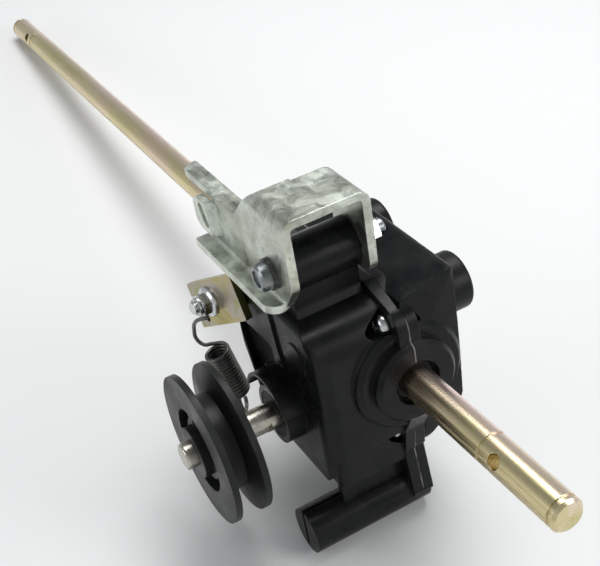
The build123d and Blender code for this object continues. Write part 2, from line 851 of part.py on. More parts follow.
def right_arm_face():
    above = bracket_top + past
    return outline([(bracket_back, above, 0), (bracket_back, right_foot, right_foot_corner),
                    (bracket_front - past, right_foot, right_foot_corner), (bracket_front, above, 0)])


def bracket_lip():
    # the foot of the left arm, bent outwards
    inner = arm_left + sheet
    outer = arm_left - lip_reach
    top = arm_foot + foot_height
    face = outline([(inner, arm_foot, bend_radius), (inner, top, 0), (arm_left, top, 0),
                    (arm_left, arm_foot + sheet, bend_radius - sheet), (outer, arm_foot + sheet, 0),
                    (outer, arm_foot, 0)])
    plan = slab_z(outline([(lip_back, outer, 1), (lip_front, outer, right_foot_corner), (lip_front, 0, 0),
                           (lip_back, 0, 0)]), 0, FAR)
    side = outline([(lip_back, arm_foot + sheet, 0), (arm_end, arm_foot + 2 * sheet, arm_foot_corner),
                    (arm_end, top, 0), (lip_front, top, 0), (lip_front, arm_foot, 0),
                    (lip_back, arm_foot, 0)])
    return slab_x(face, lip_back, lip_front) & plan & slab_y(side, outer - past, inner + past)


def tail_strip():
    # the top of the arm's tail, bent over and running on as a tongue
    inner = arm_left + tail_strip_width
    under = tail_top - sheet
    low = tail_top - tongue_depth
    face = outline([(arm_left, tail_top, bend_radius), (inner, tail_top, 0), (inner, under, 0),
                    (arm_left + sheet, under, bend_radius - sheet), (arm_left + sheet, low, 0),
                    (arm_left, low, 0)])
    edge = arm_left + tongue_inset
    tongue = outline([(tail_end + tongue_slant, edge, 1), (arm_end + past, edge, 0),
                      (arm_end + past, inner, 0), (tail_end, inner, 1)])
    return slab_x(face, arm_end, tail_start) + slab_z(tongue, under, tail_top)


def eye_lug():
    # the end of the arm, joggled outwards, that holds the eye
    outer = arm_left - sheet
    inner = arm_left + sheet
    root = arm_end + jog_inner
    plan = outline([(root, arm_left, 0), (root, inner, 0), (arm_end + past / 2, inner, 0),
                    (arm_end + past / 2 - jog_length, arm_left, 0), (eye_end, arm_left, 0),
                    (eye_end, outer, 0),
                    (arm_end - past / 2, outer, 0), (arm_end - past / 2 + jog_length, arm_left, 0)])
    side = outline([(eye_end, eye_foot, eye_corner), (root + past, eye_foot, 0), (root + past, eye_top, 0),
                    (eye_end, eye_top, eye_corner)])
    return slab_z(plan, eye_foot, eye_top) & slab_y(side, outer - past, inner + past)


def pivot_bracket():
    channel = slab_x(channel_face(), lip_back, bracket_front)
    middle = (arm_left + arm_right) / 2
    left = slab_y(left_arm_face(), arm_left - past, middle)
    right = slab_y(right_arm_face(), middle, arm_right + past)
    foot_edge = block((lip_back - past, lip_front), (arm_left - past, arm_left + sheet + past),
                      (arm_foot - past, arm_foot + foot_height - past))
    bracket = (channel & (left + right)) - foot_edge + bracket_lip() + tail_strip() + eye_lug()
    bracket -= slab_y(Pos(*eye_place) * Rot(0, 0, eye_turn) * SlotOverall(*eye_size), -FAR, 0)
    return bracket - rod_y(pivot_bolt_radius + seat_gap, -FAR, FAR, pivot_x, pivot_z)


def pivot_bolt():
    seat = arm_left - pivot_washer_thickness
    head = rod_y(pivot_head_radius, seat - pivot_head_height, seat, pivot_x, pivot_z)
    head = chamfer(head.edges().sort_by(Axis.Y)[0], pivot_chamfer)
    front = seat - pivot_head_height
    head -= rod_y(pivot_dish_radius, front - past, front + pivot_dish_depth, pivot_x, pivot_z)
    end = arm_right + pivot_washer_thickness + pivot_nut_height + pivot_overrun
    shank = rod_y(pivot_bolt_radius, seat - past, end, pivot_x, pivot_z)
    return head + chamfer(shank.edges().sort_by(Axis.Y)[-1], pivot_chamfer)


def pivot_washers():
    rings = []
    for start in (arm_left - pivot_washer_thickness, arm_right):
        ring = rod_y(pivot_washer_outer, start, start + pivot_washer_thickness, pivot_x, pivot_z)
        rings.append(ring - rod_y(pivot_bolt_radius + seat_gap, -FAR, FAR, pivot_x, pivot_z))
    return Compound(children=rings)


def pivot_nut():
    start = arm_right + pivot_washer_thickness
    nut = hexagon_y(pivot_nut_flats, start, start + pivot_nut_height, pivot_x, pivot_z)
    round_part = rod_y(nut_round * pivot_nut_flats / 2, start, start + pivot_nut_height, pivot_x, pivot_z)
    nut &= chamfer(round_part.edges(), nut_chamfer)
    return nut - rod_y(pivot_bolt_radius, -FAR, FAR, pivot_x, pivot_z)


def pivot_sleeve():
    tube = rod_y(sleeve_outer, arm_left + sheet, arm_right - sheet, pivot_x, pivot_z)
    return tube - rod_y(pivot_bolt_radius + seat_gap, -FAR, FAR, pivot_x, pivot_z)


# Strap, its bolt and the spring

def spring_strap():
    face = RectangleRounded(strap_length, strap_width, strap_corner)
    plate = extrude(strap_plane.offset(-sheet / 2) * face, sheet)
    hole = strap_plane.offset(-sheet) * Pos(spring_hole_along, spring_hole_up, 0) * Cylinder(
        spring_hole_radius, 2 * sheet, align=ON_BASE)
    return plate - hole - strap_bolt_hole(strap_bolt_radius + bolt_gap)


def strap_bolt():
    back = -sheet / 2 - face_gap - lug_thickness
    place = strap_plane * Pos(strap_bolt_along, strap_bolt_up, 0)
    top = sheet / 2 + strap_nut_height + strap_bolt_overrun
    shank = Pos(0, 0, back - past) * Cylinder(strap_bolt_radius, top - back + past, align=ON_BASE)
    shank = chamfer(shank.edges().sort_by(Axis.Z)[-1], thread_chamfer)
    hexagon = RegularPolygon(strap_head_radius, 6, major_radius=False)
    head = extrude(Pos(0, 0, back - strap_head_height) * hexagon, strap_head_height)
    return place * (shank + head)


def strap_nut():
    place = strap_plane * Pos(strap_bolt_along, strap_bolt_up, sheet / 2)
    nut = extrude(RegularPolygon(strap_nut_flats / 2, 6, major_radius=False), strap_nut_height)
    round_part = Cylinder(nut_round * strap_nut_flats / 2, strap_nut_height, align=ON_BASE)
    nut &= chamfer(round_part.edges().sort_by(Axis.Z)[-1], nut_chamfer)
    nut += Cone(strap_nut_flange_radius, strap_nut_waist, strap_nut_flange, align=ON_BASE)
    return place * (nut - Cylinder(strap_bolt_radius, FAR))


def spring_hole_point():
    return strap_plane.from_local_coords((spring_hole_along, spring_hole_up, 0))


def wire(path):
    return sweep(Plane(path @ 0, z_dir=path % 0) * RegularPolygon(wire_radius, wire_sides), path)


def hook_path():
    # from its tip behind the strap through the hole, round the front and down to the coil
    across = coil_offset + hook_reach
    down = hook_radius - coil_drop
    reach = hypot(across, down)
    turn = degrees(atan2(down, across)) + 360 - degrees(acos(hook_radius / reach))
    front = CenterArc((-hook_reach, -hook_radius, 0), hook_radius, 90, turn - 90)
    back = CenterArc((hook_back - hook_tip, -hook_tip, 0), hook_tip, 0, 90)
    lines = (Line((hook_back, -2 * hook_tip), back @ 0), back, Line(back @ 1, front @ 0), front,
             Line(front @ 1, (coil_offset, -coil_drop)))
    return Plane.YZ * Wire([line.edge() for line in lines])


def tension_spring():
    # drawn hanging straight down from the strap's hole, then leaned
    coil_foot = -coil_drop - coil_length
    helix = Pos(0, coil_offset, coil_foot) * Helix(coil_length / coil_turns, coil_length, coil_radius)
    section = Plane(helix @ 0, z_dir=helix % 0) * RegularPolygon(wire_radius, wire_sides)
    coil = sweep(section, helix, is_frenet=True)
    spring = coil + wire(hook_path())
    for z in (-coil_drop, coil_foot):
        spring += wire(Line((0, coil_offset, z), (coil_radius + wire_radius / 2, coil_offset, z)))
        spring += Pos(0, coil_offset, z) * Sphere(wire_radius)
    foot = Plane.YZ * CenterArc((coil_offset, coil_foot - coil_radius, 0), coil_radius, 90, 240)
    return Pos(*spring_hole_point()) * Rot(*spring_lean) * (spring + wire(foot))


def nodes():
    return {
        "housing_front": housing_front(), "housing_rear": housing_rear(),
        "housing_screws": housing_screws(), "housing_nuts": housing_nuts(),
        "axle": axle(), "axle_rings": axle_rings(), "wheel_washers": wheel_washers(),
        "axle_bushes": axle_bushes(), "axle_seals": axle_seals(),
        "worm_wheel": worm_wheel(), "drive_pin": drive_pin(),
        "input_shaft": input_shaft(), "input_bushes": input_bushes(), "input_seal": input_seal(),
        "pulley": pulley(),
        "pivot_bracket": pivot_bracket(), "pivot_bolt": pivot_bolt(), "pivot_washers": pivot_washers(),
        "pivot_nut": pivot_nut(), "pivot_sleeve": pivot_sleeve(),
        "spring_strap": spring_strap(), "strap_bolt": strap_bolt(), "strap_nut": strap_nut(),
        "tension_spring": tension_spring()}


def main():
    os.makedirs("parts", exist_ok=True)
    shapes = nodes()
    box = Compound(children=[Pos(0, 0, 0) * shape for shape in shapes.values()]).bounding_box()
    base = Vector(box.center().X, box.center().Y, box.min.Z)
    print("origin moved by", -base)
    for name, shape in shapes.items():
        export_step(Pos(-base) * shape, f"parts/{name}.step")


main()
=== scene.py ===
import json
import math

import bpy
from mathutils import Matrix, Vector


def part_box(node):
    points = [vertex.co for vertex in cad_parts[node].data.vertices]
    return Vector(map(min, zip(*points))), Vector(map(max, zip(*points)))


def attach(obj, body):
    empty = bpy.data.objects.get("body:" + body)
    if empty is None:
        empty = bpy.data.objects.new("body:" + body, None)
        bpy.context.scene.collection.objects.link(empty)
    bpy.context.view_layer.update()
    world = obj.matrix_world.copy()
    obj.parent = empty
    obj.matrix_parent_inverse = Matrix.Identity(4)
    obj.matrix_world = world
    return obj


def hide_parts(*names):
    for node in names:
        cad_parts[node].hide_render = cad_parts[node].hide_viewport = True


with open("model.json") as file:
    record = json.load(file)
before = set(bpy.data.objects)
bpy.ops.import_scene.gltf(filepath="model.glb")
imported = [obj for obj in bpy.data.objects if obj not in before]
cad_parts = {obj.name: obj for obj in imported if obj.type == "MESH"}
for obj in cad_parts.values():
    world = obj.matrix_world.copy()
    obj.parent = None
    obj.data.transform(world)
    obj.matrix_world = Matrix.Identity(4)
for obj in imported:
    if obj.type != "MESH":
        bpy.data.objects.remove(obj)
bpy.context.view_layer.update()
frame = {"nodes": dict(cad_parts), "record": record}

# %% [markdown]
# A small worm gearbox stands on its hook clip and on the far end of its long axle.
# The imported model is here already, every part at its place and in metres. So this script dresses the parts,
# makes a few small pieces finer than the solids, and sets up the camera, the floor and the light.
# The parts were drawn in millimetres about the axle's axis. A helper turns such a point into a place
# in the scene, so that the numbers below can be read against the drawing.

SHIFT = Vector((0.1565, 0.02375, 0.0652))
MM = 0.001


def place(x, y, z):
    """A point of the drawing, in millimetres about the axle's axis, in the scene."""
    return Vector((x, y, z)) * MM + SHIFT


# %% [markdown]
# The photograph looks along the short end of the axle from above, in front of the pulley.
# A camera could be placed by eye, but then nothing lines up. Here its place, its three axes and its lens
# were solved from the straight edges of the parts, so a render can be laid over the photograph.
# Blender's own view setting would fade the colours, so the plain one is chosen.

# %% Camera
CAMERA_RIGHT = Vector((0.47683, 0.86524, -0.15488))
CAMERA_UP = Vector((-0.43125, 0.38382, 0.81652))
CAMERA_BACK = Vector((0.76593, -0.32255, 0.55615))
CAMERA_SPOT = place(293.60, -145.22, 246.60)
CAMERA_LENS = 68.70
SENSOR_WIDTH = 36.0
FARTHEST_SEEN = 20.0
camera_turn = Matrix((CAMERA_RIGHT, CAMERA_UP, CAMERA_BACK)).transposed().to_4x4()
bpy.ops.object.camera_add()
camera = bpy.context.object
camera.name = "camera"
camera.matrix_world = Matrix.Translation(CAMERA_SPOT) @ camera_turn
camera.data.sensor_width = SENSOR_WIDTH
camera.data.sensor_fit = "HORIZONTAL"
camera.data.lens = CAMERA_LENS
camera.data.clip_end = FARTHEST_SEEN
bpy.context.scene.camera = camera
bpy.context.scene.view_settings.view_transform = "Standard"
print("camera at", tuple(round(value, 3) for value in camera.location))

# %% [markdown]
# Every finish has one principled shader. Each could be written out node by node, but most lines would repeat.
# So a small class keeps the shader, and gives a socket either a plain value or the output of another node.
# The first finish made with it is the pale, matt paper that the gearbox stands on.

# %% A finish in the making


class Finish:
    """A material with one principled shader, whose sockets take values or the outputs of nodes."""

    def __init__(self, name, metallic, roughness):
        self.material = bpy.data.materials.new(name)
        self.material.use_nodes = True
        self.nodes = self.material.node_tree.nodes
        self.nodes.clear()
        output = self.nodes.new("ShaderNodeOutputMaterial")
        self.shader = self.nodes.new("ShaderNodeBsdfPrincipled")
        self.put(output.inputs["Surface"], self.shader.outputs[0])
        self.shade("Metallic", metallic)
        self.shade("Roughness", roughness)

    def put(self, socket, value):
        """Gives a socket a number, a colour, a vector or the output of another node."""
        if isinstance(value, bpy.types.NodeSocket):
            self.material.node_tree.links.new(value, socket)
        elif socket.type == "RGBA":
            socket.default_value = (*value, 1)
        else:
            socket.default_value = value

    def shade(self, socket, value):
        """Gives a socket of the shader its value."""
        self.put(self.shader.inputs[socket], value)


paper = Finish("floor_paper", 0.0, 0.7)
paper.shade("Base Color", (0.735, 0.74, 0.74))
paper.shade("Specular IOR Level", 0.1)
print("first finish", paper.material.name)

# %% [markdown]
# The gearbox rests on its clip and on the far end of its axle, so seen in the model's own axes the floor leans.
# The floor could be level and the object turned, but the parts have to stay at their places in the packed
# model. So the floor is turned. It lies a hair below the point that it touches, to cut into nothing.

# %% Floor
UPRIGHT = Vector((0, 0, 1))
FLOOR_NORMAL = Vector((0.133, 0.0, 0.991)).normalized()
FLOOR_TOUCH = place(-423.0, 0.0, -6.0)
FLOOR_ROOM = 0.0005
FLOOR_SIZE = 12.0
bpy.ops.mesh.primitive_plane_add(size=FLOOR_SIZE)
floor = bpy.context.object
floor.name = "floor"
floor_turn = UPRIGHT.rotation_difference(FLOOR_NORMAL).to_matrix().to_4x4()
floor.matrix_world = Matrix.Translation(FLOOR_TOUCH - FLOOR_NORMAL * FLOOR_ROOM) @ floor_turn
floor.data.materials.append(paper.material)
print("floor leans by", round(math.degrees(FLOOR_NORMAL.angle(UPRIGHT)), 1), "degrees")

# %% [markdown]
# Bare metal shows what stands round it, so an even grey world would make it look like grey paint.
# The world here is pale low down and darker above, and its brightness fills the shadows.

# %% World
LOW_SKY = (0.90, 0.92, 0.94, 1)
HIGH_SKY = (0.36, 0.37, 0.385, 1)
HIGH_SKY_FROM = 0.75
WORLD_STRENGTH = 0.72
world = bpy.data.worlds.new("studio")
bpy.context.scene.world = world
world.use_nodes = True
world_nodes, world_links = world.node_tree.nodes, world.node_tree.links
background = world_nodes["Background"]
background.inputs["Strength"].default_value = WORLD_STRENGTH
direction = world_nodes.new("ShaderNodeSeparateXYZ")
sky = world_nodes.new("ShaderNodeValToRGB")
world_links.new(world_nodes.new("ShaderNodeTexCoord").outputs["Generated"], direction.inputs[0])
world_links.new(direction.outputs["Z"], sky.inputs["Fac"])
world_links.new(sky.outputs["Color"], background.inputs["Color"])
low_stop, high_stop = sky.color_ramp.elements
low_stop.color = LOW_SKY
high_stop.color = HIGH_SKY
high_stop.position = HIGH_SKY_FROM
print("world", world.name)

# %% [markdown]
# The photograph's light is soft. Small lamps would give hard shadows and hard glints, so three panels
# light the gearbox: a large one overhead and two weaker ones, at the side and in front.

# %% Lamps


def light_panel(name, offset, width, height, power):
    """A rectangular lamp, facing the gearbox from an offset in metres, with its power in watts."""
    bpy.ops.object.light_add(type="AREA", location=place(0, 0, 0) + Vector(offset))
    lamp = bpy.context.object
    lamp.name = name
    lamp.data.shape = "RECTANGLE"
    lamp.data.size = width
    lamp.data.size_y = height
    lamp.data.energy = power
    lamp.rotation_euler = (-Vector(offset)).to_track_quat("-Z", "Y").to_euler()


light_panel("light_overhead", (-0.15, 0.25, 0.9), 0.7, 0.5, 8.8)
light_panel("light_side", (0.75, 0.55, 0.35), 0.4, 0.4, 2.9)
light_panel("light_front", (-0.1, -0.9, 0.35), 0.5, 0.3, 1.4)

# %% [markdown]
# Grain, stains and wear are never even. A picture could carry them, but it would need unwrapped parts.
# Noise needs none: it is worked out at each point from the object's own coordinates, which are metres here.
# So a scale says how many patches lie in a metre, and the pattern stays on its part when the part moves.

# %% Patterns
PLASTIC_GRAIN = 1900


def where(finish):
    """The point that is being shaded, in metres."""
    return finish.nodes.new("ShaderNodeTexCoord").outputs["Object"]


def noise(finish, scale, detail=4.0, roughness=0.55, distortion=0.0, stretch=None):
    """Noise with so many patches to a metre, or stretched by a number each along X, Y and Z."""
    spot = where(finish)
    if stretch:
        mapping = finish.nodes.new("ShaderNodeMapping")
        finish.put(mapping.inputs["Scale"], stretch)
        finish.put(mapping.inputs["Vector"], spot)
        spot = mapping.outputs["Vector"]
    node = finish.nodes.new("ShaderNodeTexNoise")
    finish.put(node.inputs["Vector"], spot)
    finish.put(node.inputs["Scale"], scale)
    finish.put(node.inputs["Detail"], detail)
    finish.put(node.inputs["Roughness"], roughness)
    finish.put(node.inputs["Distortion"], distortion)
    return node.outputs["Fac"]


def span(finish, value, given, wanted=(0.0, 1.0)):
    """Carries a value from the given range over to the wanted one, and stops at its ends."""
    node = finish.nodes.new("ShaderNodeMapRange")
    finish.put(node.inputs["Value"], value)
    finish.put(node.inputs["From Min"], given[0])
    finish.put(node.inputs["From Max"], given[1])
    finish.put(node.inputs["To Min"], wanted[0])
    finish.put(node.inputs["To Max"], wanted[1])
    return node.outputs["Result"]


print("the plastic's grain is", round(1 / MM / PLASTIC_GRAIN, 2), "mm wide")

# %% [markdown]
# A finish is built up as a painter would, one colour laid over another where a pattern says so.
# A ramp gives several colours at once, for zinc whose colour runs from straw to rose.
# The mix node has sockets for several kinds of value, so those of its colours are found by number.

# %% Colours
MIX_SHARE, MIX_FIRST, MIX_SECOND, MIX_RESULT = 0, 6, 7, 2


def mix(finish, share, first, second):
    """Lays the second colour over the first, as much as the share says."""
    node = finish.nodes.new("ShaderNodeMix")
    node.data_type = "RGBA"
    finish.put(node.inputs[MIX_SHARE], share)
    finish.put(node.inputs[MIX_FIRST], first)
    finish.put(node.inputs[MIX_SECOND], second)
    return node.outputs[MIX_RESULT]


def ramp(finish, value, *stops):
    """Turns a value into a colour, by colours at places from 0 to 1."""
    node = finish.nodes.new("ShaderNodeValToRGB")
    while len(node.color_ramp.elements) < len(stops):
        node.color_ramp.elements.new(0.5)
    for element, (position, colour) in zip(node.color_ramp.elements, stops):
        element.position = position
        element.color = (*colour, 1)
    finish.put(node.inputs["Fac"], value)
    return node.outputs["Color"]


print("colours are laid on with", mix.__name__, "and", ramp.__name__)

# %% [markdown]
# Some marks follow the shape and not the noise, such as flash along a plane or bands round a bar.
# They need a little arithmetic on the point that is shaded and on the way its face points.

# %% Arithmetic


def calculate(finish, operation, first, second=None):
    """One step of arithmetic on numbers."""
    node = finish.nodes.new("ShaderNodeMath")
    node.operation = operation
    finish.put(node.inputs[0], first)
    if second is not None:
        finish.put(node.inputs[1], second)
    return node.outputs[0]


def beyond(finish, axis, level):
    """How far the shaded point lies past a level of one axis, in metres."""
    parts = finish.nodes.new("ShaderNodeSeparateXYZ")
    finish.put(parts.inputs[0], where(finish))
    return calculate(finish, "SUBTRACT", parts.outputs[axis], level)


def facing(finish, direction):
    """How much a face points in a direction: 1 if straight, 0 if sideways, and less if away from it."""
    node = finish.nodes.new("ShaderNodeVectorMath")
    node.operation = "DOT_PRODUCT"
    finish.put(node.inputs[0], finish.nodes.new("ShaderNodeNewGeometry").outputs["Normal"])
    finish.put(node.inputs[1], direction)
    return node.outputs["Value"]


print("the halves of the housing meet at Y", round(SHIFT.y, 5))

# %% [markdown]
# No real edge is sharp. Every edge could get a modelled bevel, but the solids are loose triangles.
# The Bevel node rounds only the shading. Where its normal differs from the face's own, an edge is near,
# and that same difference says where a finish is rubbed. A bump raises a pattern without any new faces.

# %% Edges and relief
BEVEL_SAMPLES = 4
EDGE_ALIKE = 0.8
FLAT_ALIKE = 0.99


def soft_edge(finish, radius):
    """A normal rounded over the edges, and how near an edge is, from 0 to 1."""
    rounded = finish.nodes.new("ShaderNodeBevel")
    rounded.samples = BEVEL_SAMPLES
    finish.put(rounded.inputs["Radius"], radius)
    alike = facing(finish, rounded.outputs["Normal"])
    return rounded.outputs["Normal"], span(finish, alike, (EDGE_ALIKE, FLAT_ALIKE), (1.0, 0.0))


def bump(finish, pattern, before, height, strength=1.0):
    """Raises a pattern by a height in metres, over the normal that is there before it."""
    node = finish.nodes.new("ShaderNodeBump")
    finish.put(node.inputs["Height"], pattern)
    finish.put(node.inputs["Normal"], before)
    finish.put(node.inputs["Distance"], height)
    finish.put(node.inputs["Strength"], strength)
    return node.outputs["Normal"]


print("edges are rounded with", BEVEL_SAMPLES, "samples")

# %% [markdown]
# The housing and the pulley are moulded from black glass filled nylon. One dark colour would look like paper.
# The real moulding has a fine grain, soft sink marks, scratches, dust, and edges rubbed grey. Where the halves
# meet there is a thin broken line of flash. It could be modelled, but it hardly stands up, so it is painted
# by the distance from that plane. The rubber seals are made the same way, a little duller.

# %% Black moulded plastic
FLASH_GREY = (0.30, 0.30, 0.28)
SCRATCH_GREY = (0.15, 0.155, 0.155)
DUST_GREY = (0.24, 0.24, 0.23)
RUBBED_GREY = (0.12, 0.122, 0.12)
FLASH_HALF_WIDTH = 0.00012
FLASH_ENDS = 0.0003
SCRATCH_STRETCH = (130, 1500, 700)


def flash_line(finish, cloud):
    """How much flash shows, in a thin broken line in the plane where the halves meet."""
    distance = calculate(finish, "ABSOLUTE", beyond(finish, "Y", SHIFT.y))
    near = span(finish, distance, (FLASH_HALF_WIDTH, FLASH_ENDS), (1.0, 0.0))
    return calculate(finish, "MULTIPLY", near, span(finish, cloud, (0.48, 0.6), (0.0, 0.8)))


def moulded(name, dark, pale, roughness, grain_height, edge_radius, parted=False):
    """Glass filled nylon: fine grain, sink marks, scratches, dust and rubbed edges."""
    finish = Finish(name, 0.0, roughness)
    finish.shade("Specular IOR Level", 0.15)
    normal, edge = soft_edge(finish, edge_radius)
    cloud = noise(finish, 70, detail=5, roughness=0.6)
    sink = noise(finish, 42, detail=2, roughness=0.4, distortion=0.4)
    grain = noise(finish, PLASTIC_GRAIN, detail=3, roughness=0.6)
    scratch = noise(finish, 1.0, detail=5, roughness=0.65, distortion=0.3, stretch=SCRATCH_STRETCH)
    dust = noise(finish, 1300, detail=2, roughness=0.5)
    rubbed = calculate(finish, "MULTIPLY", span(finish, cloud, (0.42, 0.7), (0.0, 0.4)), edge)
    colour = mix(finish, span(finish, cloud, (0.35, 0.7)), dark, pale)
    colour = mix(finish, span(finish, scratch, (0.7, 0.78), (0.0, 0.5)), colour, SCRATCH_GREY)
    colour = mix(finish, span(finish, dust, (0.77, 0.82), (0.0, 0.55)), colour, DUST_GREY)
    colour = mix(finish, rubbed, colour, RUBBED_GREY)
    if parted:
        colour = mix(finish, flash_line(finish, cloud), colour, FLASH_GREY)
    finish.shade("Base Color", colour)
    finish.shade("Roughness", span(finish, cloud, (0.3, 0.7), (roughness - 0.1, roughness + 0.12)))
    swell = bump(finish, sink, normal, 0.0009, strength=0.35)
    finish.shade("Normal", bump(finish, grain, swell, grain_height))
    return finish.material


housing_black = moulded("black_moulding", (0.0055, 0.006, 0.0065), (0.0125, 0.013, 0.0132),
                        0.3, 0.000025, 0.0006, parted=True)
pulley_black = moulded("pulley_moulding", (0.013, 0.0135, 0.014), (0.022, 0.0225, 0.023),
                       0.38, 0.000015, 0.0004)
rubber = moulded("seal_rubber", (0.006, 0.006, 0.0062), (0.011, 0.011, 0.011), 0.5, 0.00002, 0.0003)
print("plastics", housing_black.name, pulley_black.name, rubber.name)

# %% [markdown]
# The axle is drawn bar under yellow passivated zinc. The film is so thin that its colour changes with its
# thickness: straw, olive and rose. On a bar these colours run as bands along it, and noise alone would give
# clouds. So the colour comes from the angle round the bar's axis, broken by long patches and fine lines.
# The bright rose band along the top of the bar is partly the film's colour and partly a painted highlight.

# %% Yellow zinc on the axle
# Film colours round the bar. The bright rose stop at 0.68 lies along the top and is partly a painted highlight.
BAR_FILM_AND_HIGHLIGHT = ((0.0, (0.66, 0.541, 0.29)), (0.22, (0.739, 0.647, 0.435)), (0.38, (0.607, 0.541, 0.261)),
             (0.55, (0.832, 0.686, 0.536)), (0.68, (0.898, 0.726, 0.667)), (0.8, (0.7, 0.62, 0.334)),
             (1.0, (0.66, 0.541, 0.29)))
BAR_PATCHES = ((0.35, (0.568, 0.528, 0.232)), (0.5, (0.766, 0.66, 0.406)), (0.66, (0.832, 0.634, 0.58)))
PATCH_SHARE = 0.45
PATCH_STRETCH = (18, 60, 60)
LINE_STRETCH = (25, 2600, 2600)


def passivated_bar(name):
    """Yellow zinc on drawn bar that lies along X, about the axle's axis."""
    finish = Finish(name, 1.0, 0.3)
    angle = calculate(finish, "ARCTAN2", beyond(finish, "Z", SHIFT.z), beyond(finish, "Y", SHIFT.y))
    # Colour by the angle round the bar: film colours, with a painted highlight in the bright rose band along
    # the top.
    film_and_highlight = ramp(finish, span(finish, angle, (-math.pi, math.pi)), *BAR_FILM_AND_HIGHLIGHT)
    long_patch = noise(finish, 1.0, detail=3, roughness=0.5, distortion=0.6, stretch=PATCH_STRETCH)
    lines = noise(finish, 1.0, detail=3, roughness=0.6, stretch=LINE_STRETCH)
    normal, edge = soft_edge(finish, 0.0003)
    colour = mix(finish, PATCH_SHARE, film_and_highlight, ramp(finish, long_patch, *BAR_PATCHES))
    colour = mix(finish, span(finish, lines, (0.45, 0.75), (0.0, 0.3)), colour, (0.36, 0.31, 0.19))
    colour = mix(finish, span(finish, edge, (0.0, 1.0), (0.0, 0.6)), colour, (0.74, 0.71, 0.62))
    finish.shade("Base Color", colour)
    finish.shade("Roughness", span(finish, lines, (0.3, 0.7), (0.2, 0.34)))
    finish.shade("Normal", bump(finish, lines, normal, 0.000012))
    return finish.material


axle_zinc = passivated_bar("yellow_zinc_bar")
print("axle finish", axle_zinc.name)

# %% [markdown]
# The strap is sheet under the same zinc. On its flat faces the film is cloudy, straw and lilac, and its cut
# edges are painted dark olive green as painted shade. The cut edges could be picked out face by face, but they
# are just the faces that don't look along the strap's normal, so the direction of a face decides.

# %% Yellow zinc on the strap
STRAP_NORMAL = Vector((0.191044, -0.97533, 0.110604)).normalized()
SHEET_CLOUDS = ((0.32, (0.34, 0.29, 0.10)), (0.45, (0.43, 0.37, 0.18)),
                (0.55, (0.42, 0.37, 0.33)), (0.68, (0.32, 0.33, 0.12)))


def passivated_sheet(name):
    """Yellow zinc on sheet, cloudy on its faces, with painted shade in dark olive on its cut edges."""
    finish = Finish(name, 1.0, 0.3)
    cloud = noise(finish, 75, detail=3, roughness=0.5, distortion=0.8)
    speck = noise(finish, 800, detail=4, roughness=0.6)
    normal, edge = soft_edge(finish, 0.0002)
    flat = calculate(finish, "ABSOLUTE", facing(finish, tuple(STRAP_NORMAL)))
    colour = ramp(finish, cloud, *SHEET_CLOUDS)
    colour = mix(finish, span(finish, speck, (0.64, 0.76), (0.0, 0.6)), colour, (0.30, 0.27, 0.14))
    # Painted shade: the cut edges, faces that don't look along the strap's normal, turn dark olive.
    colour = mix(finish, span(finish, flat, (0.3, 0.7), (0.85, 0.0)), colour, (0.25, 0.27, 0.06))
    colour = mix(finish, span(finish, edge, (0.0, 1.0), (0.0, 0.6)), colour, (0.74, 0.72, 0.50))
    finish.shade("Base Color", colour)
    finish.shade("Roughness", span(finish, cloud, (0.3, 0.7), (0.24, 0.4)))
    finish.shade("Normal", bump(finish, speck, normal, 0.00002))
    return finish.material


strap_zinc = passivated_sheet("yellow_zinc_sheet")
print("strap finish", strap_zinc.name)

# %% [markdown]
# The pivot bracket is bent from hot dipped sheet. Its zinc lies in greenish blotches, with dark specks and
# grime. It is rubbed bright along its edges, but not evenly. An even bright rim would look drawn on,
# so the same blotches break it up.

# %% Hot dipped sheet
ZINC_BLOTCHES = ((0.3, (0.359, 0.394, 0.334)), (0.46, (0.57, 0.611, 0.537)),
                 (0.58, (0.733, 0.779, 0.7)), (0.72, (0.489, 0.527, 0.424)))
GRIME = (0.25, 0.25, 0.19)
SPECK_BROWN = (0.13, 0.125, 0.10)
RUBBED_ZINC = (0.82, 0.82, 0.80)


def galvanised(name):
    """Hot dipped sheet: blotches, dark specks, grime and broken bright edges."""
    finish = Finish(name, 1.0, 0.36)
    blotch = noise(finish, 150, detail=6, roughness=0.65, distortion=0.6)
    speck = noise(finish, 1100, detail=4, roughness=0.65)
    cloud = noise(finish, 55, detail=4, roughness=0.55, distortion=0.4)
    normal, edge = soft_edge(finish, 0.0005)
    rubbed = calculate(finish, "MULTIPLY", edge, span(finish, blotch, (0.35, 0.6), (0.35, 1.0)))
    colour = ramp(finish, blotch, *ZINC_BLOTCHES)
    colour = mix(finish, span(finish, cloud, (0.42, 0.7), (0.0, 0.75)), colour, GRIME)
    colour = mix(finish, span(finish, speck, (0.62, 0.72), (0.0, 0.75)), colour, SPECK_BROWN)
    finish.shade("Base Color", mix(finish, rubbed, colour, RUBBED_ZINC))
    finish.shade("Roughness", span(finish, blotch, (0.3, 0.7), (0.24, 0.5)))
    rough = bump(finish, speck, normal, 0.00003)
    finish.shade("Normal", bump(finish, cloud, rough, 0.0006, strength=0.5))
    return finish.material


bracket_zinc = galvanised("galvanised")
print("bracket finish", bracket_zinc.name)

# %% [markdown]
# Screws, nuts, bushes, the shaft and the spring are plated or bare. Each could have a function of its own,
# but they differ only in colour, gloss and the size of their grain. So one function makes them all,
# with an uneven sheen, a yellowish stain and brighter edges.

# %% Plated and bare metal
DARKER = 0.75
STAIN_TINT = (0.9, 0.84, 0.66)
EDGE_BRIGHTER = 1.3
WHITEST = 1.0


